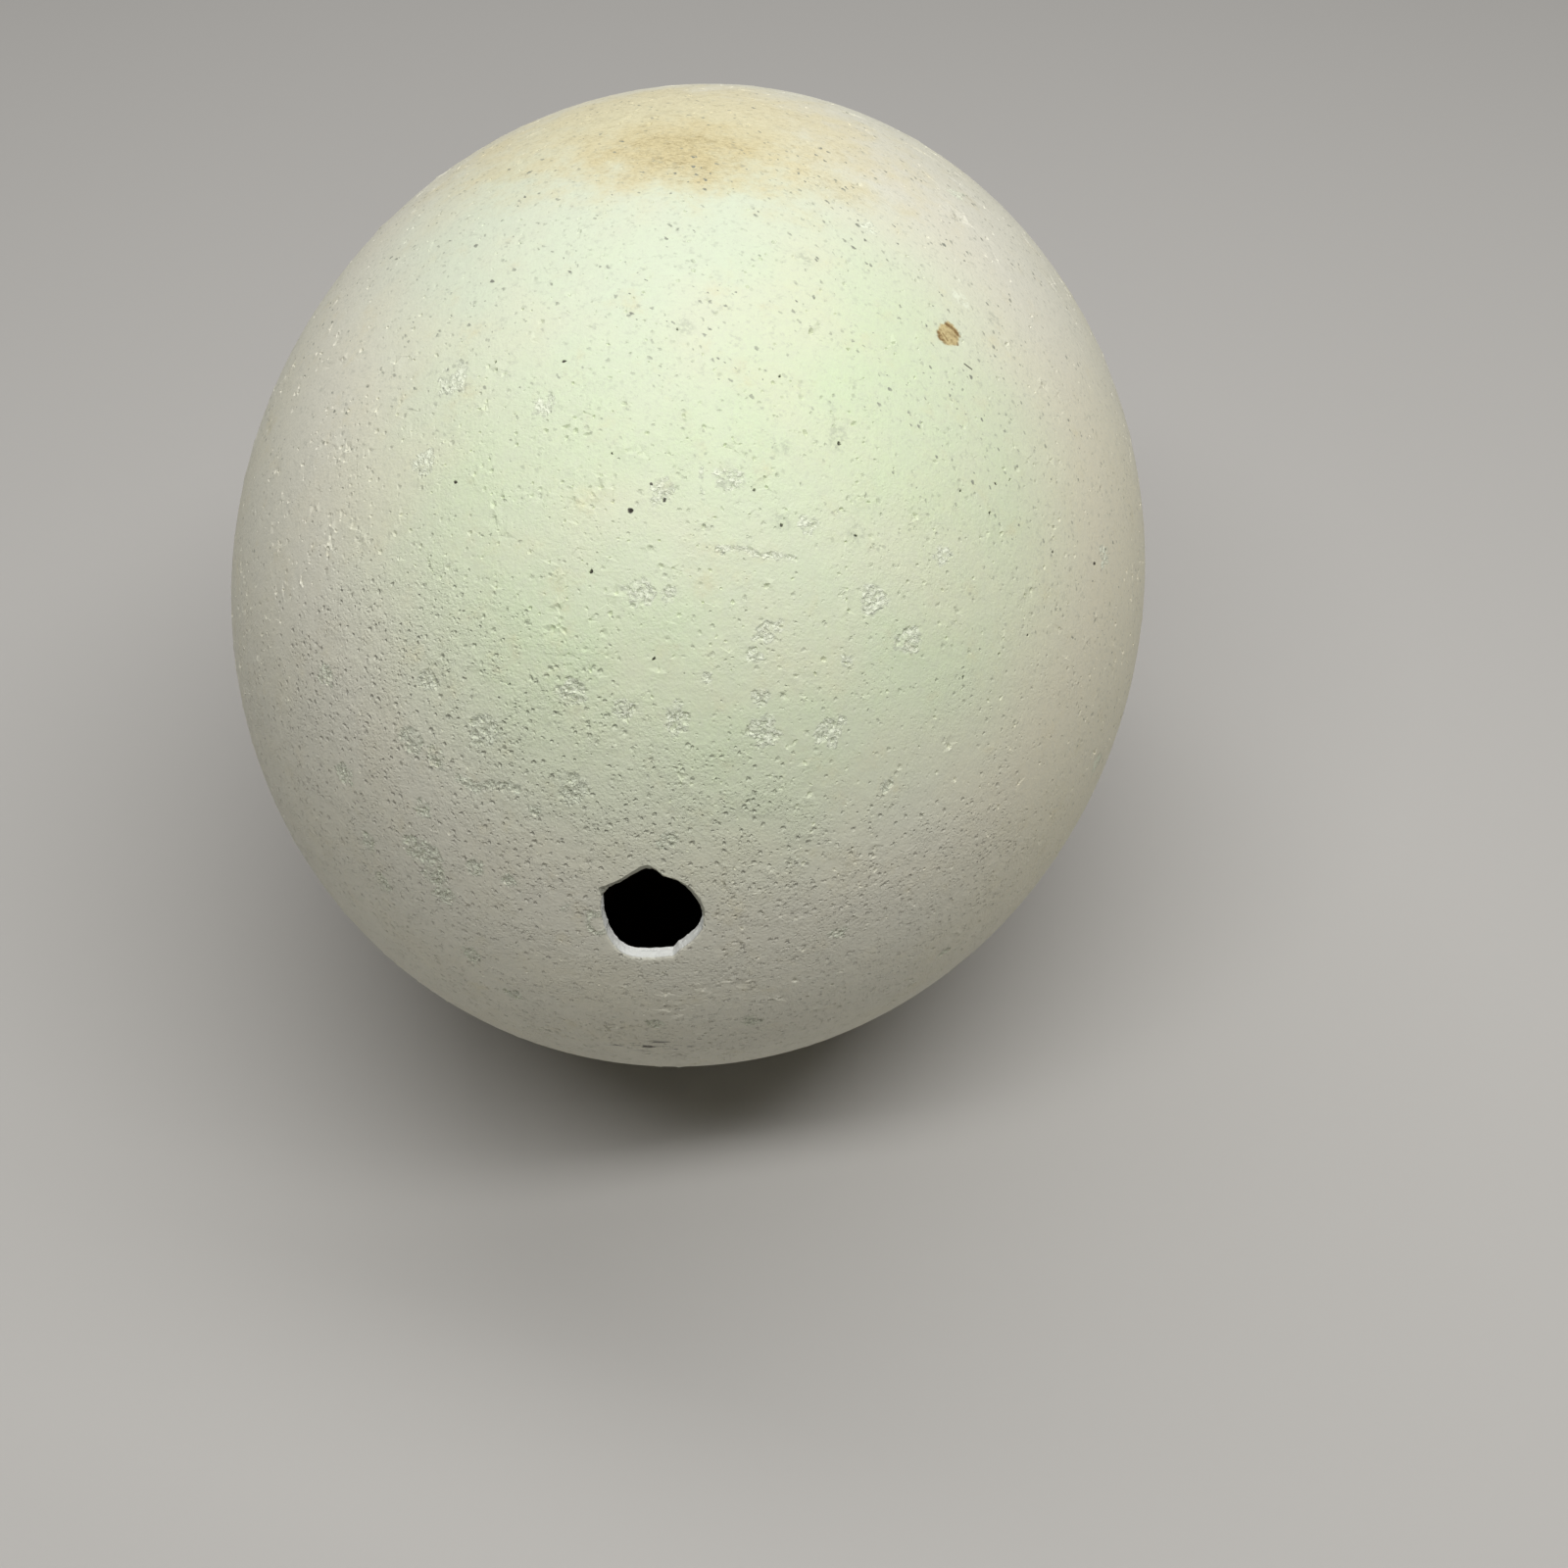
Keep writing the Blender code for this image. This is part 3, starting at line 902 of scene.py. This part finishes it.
class Finish:
    """A material whose nodes are added one call at a time."""

    def __init__(self, name):
        self.material = bpy.data.materials.new(name)
        self.material.use_nodes = True
        self.nodes = self.material.node_tree.nodes
        self.links = self.material.node_tree.links
        self.shader = self.nodes["Principled BSDF"]

    def add(self, kind, settings=None, **inputs):
        """A node with its settings and inputs, which go by name, or by number after an underscore."""
        node = self.nodes.new("ShaderNode" + kind)
        for name, value in (settings or {}).items():
            setattr(node, name, value)
        for name, value in inputs.items():
            self.feed(node.inputs[int(name[1:]) if name[0] == "_" else name.replace("_", " ")], value)
        return node

    def feed(self, socket, value):
        if isinstance(value, bpy.types.NodeSocket):
            self.links.new(value, socket)
        else:
            socket.default_value = value

    def math(self, operation, first, second, clamp=False):
        settings = {"operation": operation, "use_clamp": clamp}
        return self.add("Math", settings, _0=first, _1=second).outputs[0]

    def times(self, first, *factors):
        for factor in factors:
            first = self.math("MULTIPLY", first, factor)
        return first

    def plus(self, first, second):
        return self.math("ADD", first, second)

    def minus(self, first, second):
        return self.math("SUBTRACT", first, second)

    def larger(self, first, *others):
        for other in others:
            first = self.math("MAXIMUM", first, other)
        return first

    def vector(self, operation, first, second=(0, 0, 0)):
        node = self.add("VectorMath", {"operation": operation}, _0=first, _1=second)
        a_number = operation in ("DOT_PRODUCT", "DISTANCE", "LENGTH")
        return node.outputs["Value" if a_number else "Vector"]

    def scaled(self, place, factor):
        return self.add("VectorMath", {"operation": "SCALE"}, _0=place, Scale=factor).outputs[0]

    def ramp(self, value, low, high, start=0.0, end=1.0):
        """A value carried smoothly from start, at low, to end, at high."""
        node = self.add("MapRange", {"interpolation_type": "SMOOTHSTEP"})
        for socket, fed in zip(node.inputs, (value, low, high, start, end)):
            self.feed(socket, fed)
        return node.outputs[0]

    def over(self, colour, tint, *shares):
        """The colour with a tint laid over it, by the product of the shares."""
        node = self.add("Mix", {"data_type": "RGBA"}, _0=self.times(*shares), _6=colour, _7=tint)
        return node.outputs[2]

    def noise(self, place, size, detail=3.0, roughness=0.6, distortion=0.0):
        """Soft noise from 0 to 1 whose features are about the given size in millimetres."""
        shape = {"Detail": detail, "Roughness": roughness, "Distortion": distortion}
        return self.add("TexNoise", None, Vector=place, Scale=1 / size, **shape).outputs[0]

    def attribute(self, name):
        return self.add("Attribute", {"attribute_name": name}).outputs["Fac"]

    def moved(self, place, shift):
        return self.vector("ADD", place, shift)

    def streak(self, place, start, end):
        """The distance from the straight line between two places, in millimetres."""
        way = Vector(end) - Vector(start)
        arm = self.moved(place, [-value for value in start])
        dot = self.vector("DOT_PRODUCT", arm, way)
        share = self.math("DIVIDE", dot, way.length_squared, clamp=True)
        return self.vector("DISTANCE", arm, self.scaled(tuple(way), share))

    def oval(self, place, middle, reach):
        """The distance from a place on the shell, where 1 is the reach to its right and upwards."""
        seat = on_shell(*middle)
        arm = self.moved(place, [-value for value in seat.translation])
        parts = []
        for axis, span in zip((seat.col[0], seat.col[1]), reach):
            way = axis.to_3d() / span
            parts.append(self.vector("DOT_PRODUCT", arm, way))
        flat = self.add("CombineXYZ", None, _0=parts[0], _1=parts[1]).outputs[0]
        return self.vector("LENGTH", flat)

    def spot(self, place, centre, reach):
        """1 at a place in millimetres, falling to 0 at its reach along each axis."""
        away = self.vector("DIVIDE", self.vector("SUBTRACT", place, centre), reach)
        return self.math("SUBTRACT", 1.0, self.vector("LENGTH", away), clamp=True)


def spot_at(angle, bearing):
    return tuple(on_shell(angle, bearing).translation)


def pores(finish, place, sizes, share, core=0.1):
    """Round pores, 1 in each pore's core: their spacing, and their smallest and largest radius."""
    size, small, large = sizes
    cells = finish.add("TexVoronoi", None, Vector=place, Scale=1 / size)
    number = finish.add("SeparateColor", None, _0=cells.outputs["Color"])
    radius = finish.ramp(number.outputs[0], 0, 1, small / size, large / size)
    nearness = finish.math("DIVIDE", cells.outputs["Distance"], radius)
    pore = finish.ramp(nearness, core, 1.0, 1.0, 0.0)
    present = finish.math("LESS_THAN", number.outputs[1], share)
    return finish.times(pore, present)


def granules(finish, place, size):
    """Ragged crumbs of about the given size: 1 on each crumb, 0 in the gaps."""
    return finish.ramp(finish.noise(warped(finish, place, size, size), size), 0.40, 0.58)


def warped(finish, place, size, amount):
    """The same places, pushed about so that what is drawn on them has ragged edges."""
    push = finish.add("TexNoise", None, Vector=place, Scale=1 / size, Detail=2.0).outputs["Color"]
    centred = finish.vector("SUBTRACT", push, (0.5, 0.5, 0.5))
    return finish.vector("ADD", place, finish.scaled(centred, amount))


def spot_cover(finish, place, spots):
    """1 in the middle of any of the named spots, falling to 0 at the reach round each."""
    cover = 0.0
    for angle, bearing, reach in spots:
        spot = finish.spot(place, spot_at(angle, bearing), (reach, reach, reach))
        cover = finish.larger(spot, cover)
    return cover


def ground_colour(finish, place):
    """Ivory, with a breath of green over the middle and cream on the right, in soft patches."""
    broad = finish.ramp(finish.noise(place, 22, 3, 0.55), 0.35, 0.65, 0.75, 1)
    green = finish.ramp(finish.spot(place, spot_at(*GREEN_MIDDLE), GREEN_REACH), 0, 0.55)
    cream = finish.ramp(finish.spot(place, spot_at(*CREAM_SIDE), CREAM_REACH), 0, 0.6, 0, 0.8)
    colour = finish.over(IVORY, CREAM, cream)
    colour = finish.over(colour, GREENISH, green, broad)
    mint = finish.ramp(finish.spot(place, spot_at(*MINT_MIDDLE), MINT_REACH), 0, 0.6, 0, 0.8)
    colour = finish.over(colour, MINT, mint)
    blotch = finish.ramp(finish.noise(place, 14, 2, 0.6), 0.48, 0.75, 0, 0.12)
    colour = finish.over(colour, GREENER, blotch, green)
    creamy = finish.noise(finish.moved(place, (70, 0, 20)), 16, 3, 0.5)
    colour = finish.over(colour, CREAM, finish.ramp(creamy, 0.45, 0.7, 0, 0.3))
    cloud = finish.ramp(finish.noise(place, 1.8, 4, 0.7), 0.3, 0.7, 0, 0.16)
    colour = finish.over(colour, SHADED_IVORY, cloud)
    mottle = finish.ramp(finish.noise(place, 0.5, 3, 0.65), 0.42, 0.66, 0, 0.18)
    return finish.over(colour, SHADED_IVORY, mottle)


def grey_specks(finish, place, rough_place, along, colour):
    """Short grey flecks, in drifts over the smooth upper side."""
    ragged_place = warped(finish, place, 0.6, 0.7)
    slanted = finish.add("Mapping", {"vector_type": "TEXTURE"}, Vector=ragged_place)
    slanted.inputs["Rotation"].default_value = (0, 0, math.radians(-40))
    slanted.inputs["Scale"].default_value = (1.8, 1, 1)
    flecks = pores(finish, slanted.outputs[0], GREY_FLECKS, 0.7, core=0.55)
    upper = finish.ramp(along, -58, -25)
    thick = finish.ramp(spot_cover(finish, rough_place, FLECK_DRIFTS), 0, 0.5)
    drifts = finish.larger(finish.ramp(finish.noise(place, 5), 0.42, 0.58, 0.2, 1), thick)
    strength = finish.noise(finish.moved(place, (0, 30, 0)), 1.6, 2, 0.5)
    strength = finish.ramp(strength, 0.38, 0.62, 0.35, 1)
    colour = finish.over(colour, SPECK, flecks, drifts, upper, strength)
    faint = finish.ramp(finish.noise(place, 1, 4, 0.7), 0.55, 0.68, 0, 0.22)
    return finish.over(colour, DIRT_AND_SHADE, faint, upper)


def stain_colours(finish, place, colour):
    """The tan stain on top: a cream halo, a tan middle, fine dark fibres and a faint tail."""
    ragged = finish.times(finish.minus(finish.noise(place, 5, 5, 0.68), 0.5), 1.1)
    parts = []
    for centre, reach, ends, tint, strength in STAIN_PARTS:
        part = finish.ramp(finish.plus(finish.spot(place, centre, reach), ragged), *ends)
        colour = finish.over(colour, tint, part, strength)
        parts.append(part)
    halo, middle, tail = parts
    under = finish.larger(middle, finish.times(finish.larger(tail, halo), 0.5))
    level = finish.vector("MULTIPLY", place, (0.55, 1, 1))
    haze = finish.ramp(finish.noise(level, 0.32, 4, 0.7, 0.4), 0.40, 0.66)
    colour = finish.over(colour, STAIN_BROWN, haze, under, 0.42)
    fibres = finish.ramp(finish.noise(level, 0.8, 5, 0.75, 0.6), 0.50, 0.66)
    patchy = finish.ramp(finish.noise(place, 3.2), 0.38, 0.60)
    return finish.over(colour, STAIN_BROWN, fibres, patchy, under, 0.62), halo


def small_marks(finish, place, rough_place, colour):
    """The brown ring spot, the hair, the pale patches, the grey smudges and the scuffs underneath."""
    away = finish.oval(warped(finish, rough_place, 1.2, 0.8), RING_SPOT, RING_SPOT_REACH)
    inside_ring = finish.ramp(away, 0.84, 1.06, 1, 0)
    drawn = finish.noise(finish.moved(rough_place, (9, 4, 0)), 0.7, 4, 0.7)
    drawn = finish.ramp(drawn, 0.44, 0.64, 0, 0.55)
    colour = finish.over(colour, RING_TAN, inside_ring, 0.75)
    lines = 0
    for start, end, width in RING_STREAKS:
        line = finish.streak(rough_place, spot_at(*start), spot_at(*end))
        lines = finish.larger(finish.ramp(line, width * 0.3, width, 1, 0), lines)
    grainy = finish.noise(place, 0.6)
    broken = finish.ramp(grainy, 0.38, 0.56, 0.6, 1)
    dark = finish.larger(finish.times(lines, broken), finish.times(inside_ring, drawn))
    colour = finish.over(colour, RING_BROWN, dark, 0.9)

    flaky = finish.ramp(grainy, 0.42, 0.60)
    pale = finish.ramp(spot_cover(finish, rough_place, PALE_PATCHES), 0, 0.5, 0, 0.7)
    colour = finish.over(colour, CHALK, pale, flaky)
    smudged = finish.ramp(spot_cover(finish, rough_place, SMUDGES), 0.1, 0.7, 0, 0.35)
    colour = finish.over(colour, DIRT_AND_SHADE, smudged, finish.ramp(grainy, 0.4, 0.6))
    black = 0
    for angle, bearing, reach in BLACK_SPECKS:
        gap = finish.vector("DISTANCE", rough_place, spot_at(angle, bearing))
        black = finish.larger(finish.ramp(gap, reach * 0.6, reach, 1, 0), black)
    colour = finish.over(colour, BLACK_DIRT_AND_SHADE, black, 0.95)
    hair = finish.streak(place, spot_at(*HAIR_ENDS[0]), spot_at(*HAIR_ENDS[1]))
    colour = finish.over(colour, BLACK_DIRT_AND_SHADE, finish.ramp(hair, 0.07, 0.17, 0.9, 0))

    scuffed = finish.ramp(finish.spot(place, spot_at(*SCUFFS), SCUFFS_REACH), 0, 0.4)
    level = finish.vector("MULTIPLY", place, (0.22, 1, 1))
    lines = finish.ramp(finish.noise(level, 0.8), 0.54, 0.60)
    return finish.over(colour, BLACK_DIRT_AND_SHADE, scuffed, lines, 0.85)


def eggshell_finish():
    finish = Finish("pitted eggshell")
    place = finish.scaled(finish.add("TexCoord").outputs["Object"], 1 / MM)
    rough_place = warped(finish, place, 0.5, 0.5)
    along = finish.add("SeparateXYZ", None, _0=place).outputs[1]
    worn = finish.ramp(spot_cover(finish, place, WORN_PLACES), 0, 0.62)
    upper = finish.ramp(along, -50, -15)
    worn = finish.larger(worn, finish.ramp(upper, 0, 1, 0.36, 0.10))
    pit, scar, wall, inside = [finish.attribute(name) for name in SHELL_ATTRIBUTES]

    patchy = finish.ramp(finish.noise(place, 5.5), 0.38, 0.60, 0.45, 1)
    rough = finish.times(worn, patchy)
    crumbs = granules(finish, place, 0.45)
    colour = ground_colour(finish, place)
    chalky = finish.times(finish.ramp(crumbs, 0, 1, 0.3, 0.95), finish.ramp(worn, 0, 1, 1, 0.85))
    colour = finish.over(colour, CHALK, chalky, scar)
    # Painted shade along the scars' edges, for the shadow of their sunk rims, broken up by noise and
    # fainter where worn
    scar_edge_shade = finish.times(finish.ramp(scar, 0.05, 0.3), finish.ramp(scar, 0.5, 0.95, 1, 0))
    rim_shade_strength = finish.ramp(finish.noise(place, 0.9), 0.46, 0.62, 0, 0.45)
    rim_shade_strength = finish.times(rim_shade_strength, finish.ramp(worn, 0.2, 0.8, 1, 0.15))
    colour = finish.over(colour, DIRT_AND_SHADE, scar_edge_shade, rim_shade_strength)
    # Painted shade in the gaps between the crumbs
    gaps = finish.minus(1, crumbs)
    colour = finish.over(colour, DIRT_AND_SHADE, gaps, scar, 0.08)

    # Small pores, thickest on the worn blunt end, and grey flecks on the smooth upper side
    fine = pores(finish, rough_place, FINE_PORES, finish.ramp(rough, 0, 0.9, 0.18, 0.9))
    finer_place = warped(finish, place, 0.3, 0.3)
    finer = pores(finish, finer_place, FINER_PORES, finish.ramp(rough, 0, 1, 0.05, 0.9))
    colour, stain = stain_colours(finish, place, colour)
    colour = grey_specks(finish, place, rough_place, along, colour)
    # The small pores' cores darkened: partly dirt in them, partly painted shade in their hollows
    colour = finish.over(colour, DIRT_AND_SHADE, fine, fine, finish.ramp(worn, 0, 0.7, 0.45, 0.06))
    # Dirt in the pits' floors, and painted shade on the hole's lip, which shares their mask
    colour = finish.over(colour, DIRT_AND_SHADE, pit, pit, 0.7)
    colour = finish.over(colour, BLACK_DIRT_AND_SHADE, finish.ramp(pit, 0.74, 0.92))

    colour = small_marks(finish, place, rough_place, colour)
    colour = finish.over(colour, FRESH_CUT, wall)
    # The inside: its membrane colour, darkened as painted shade
    colour = finish.over(colour, SHADED_MEMBRANE, inside)
    finish.feed(finish.shader.inputs["Base Color"], colour)

    # Satin, duller where the shell is chalky or dirty
    sheen = finish.ramp(finish.noise(place, 3), 0.3, 0.7, 0.50, 0.60)
    dull = finish.larger(scar, wall, inside, pit, finish.times(stain, 0.4))
    roughness = finish.plus(sheen, finish.times(dull, 0.3))
    finish.feed(finish.shader.inputs["Roughness"], roughness)
    finish.shader.inputs["Specular IOR Level"].default_value = 0.4

    # Height, in millimetres: the pores, an orange-peel grain, and the crumbs of scars and wall
    fine_depth = finish.times(fine, finish.ramp(worn, 0, 1, *FINE_PORE_DEPTH))
    finer_depth = finish.times(finer, finish.ramp(rough, 0, 1, *FINER_PORE_DEPTH))
    grain = finish.times(finish.noise(place, 0.36), finish.ramp(rough, 0, 1, *GRAIN_HEIGHT))
    swell = finish.times(finish.noise(place, 1.3, 2, 0.5), finish.ramp(rough, 0, 1, *SWELL_HEIGHT))
    crumble = finish.times(crumbs, scar, finish.ramp(worn, 0, 1, *CRUMB_HEIGHT))
    fibrous = finish.times(finish.noise(place, 0.5), wall, WALL_FIBRE_HEIGHT)
    whole = finish.minus(finish.plus(grain, swell), finish.plus(fine_depth, finer_depth))
    outside = finish.minus(1, finish.larger(wall, inside))
    height = finish.plus(finish.times(whole, outside), finish.plus(crumble, fibrous))
    bump = finish.add("Bump", None, Height=height, Distance=MM, Strength=1)
    finish.feed(finish.shader.inputs["Normal"], bump.outputs[0])
    return finish.material


def make_stage():
    bpy.ops.mesh.primitive_plane_add(size=6)
    floor = bpy.context.object
    floor.name = "floor"
    finish = Finish("pale paper")
    finish.shader.inputs["Base Color"].default_value = PALE_PAPER
    finish.shader.inputs["Roughness"].default_value = 0.9
    floor.data.materials.append(finish.material)


def hang_softbox(name, place, size, power):
    """An area lamp that faces the egg."""
    lamp = bpy.data.lights.new(name, "AREA")
    lamp.shape = "RECTANGLE"
    lamp.size, lamp.size_y = size
    lamp.energy = power
    softbox = bpy.data.objects.new(name, lamp)
    softbox.location = place
    softbox.rotation_mode = "QUATERNION"
    softbox.rotation_quaternion = (softbox.location - Vector(LIT_PLACE)).to_track_quat("Z", "Y")
    bpy.context.scene.collection.objects.link(softbox)


def make_light():
    world = bpy.data.worlds.new("soft room")
    world.use_nodes = True
    background = world.node_tree.nodes["Background"]
    background.inputs["Color"].default_value = ROOM_COLOUR
    background.inputs["Strength"].default_value = ROOM_LIGHT
    bpy.context.scene.world = world
    for name, place, size, power in SOFTBOXES:
        hang_softbox(name, place, size, power)


def make_camera():
    lens = bpy.data.cameras.new("camera")
    lens.lens = CAMERA_LENS
    lens.sensor_width = CAMERA_SENSOR
    camera = bpy.data.objects.new("camera", lens)
    camera.location = CAMERA_PLACE
    camera.rotation_mode = "QUATERNION"
    camera.rotation_quaternion = Vector(CAMERA_AIM).to_track_quat("-Z", "Y")
    bpy.context.scene.collection.objects.link(camera)
    bpy.context.scene.camera = camera


bpy.context.scene.view_settings.view_transform = "Standard"
make_camera()
make_light()
make_stage()
shell = make_shell()
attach(shell, "root")
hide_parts("eggshell")
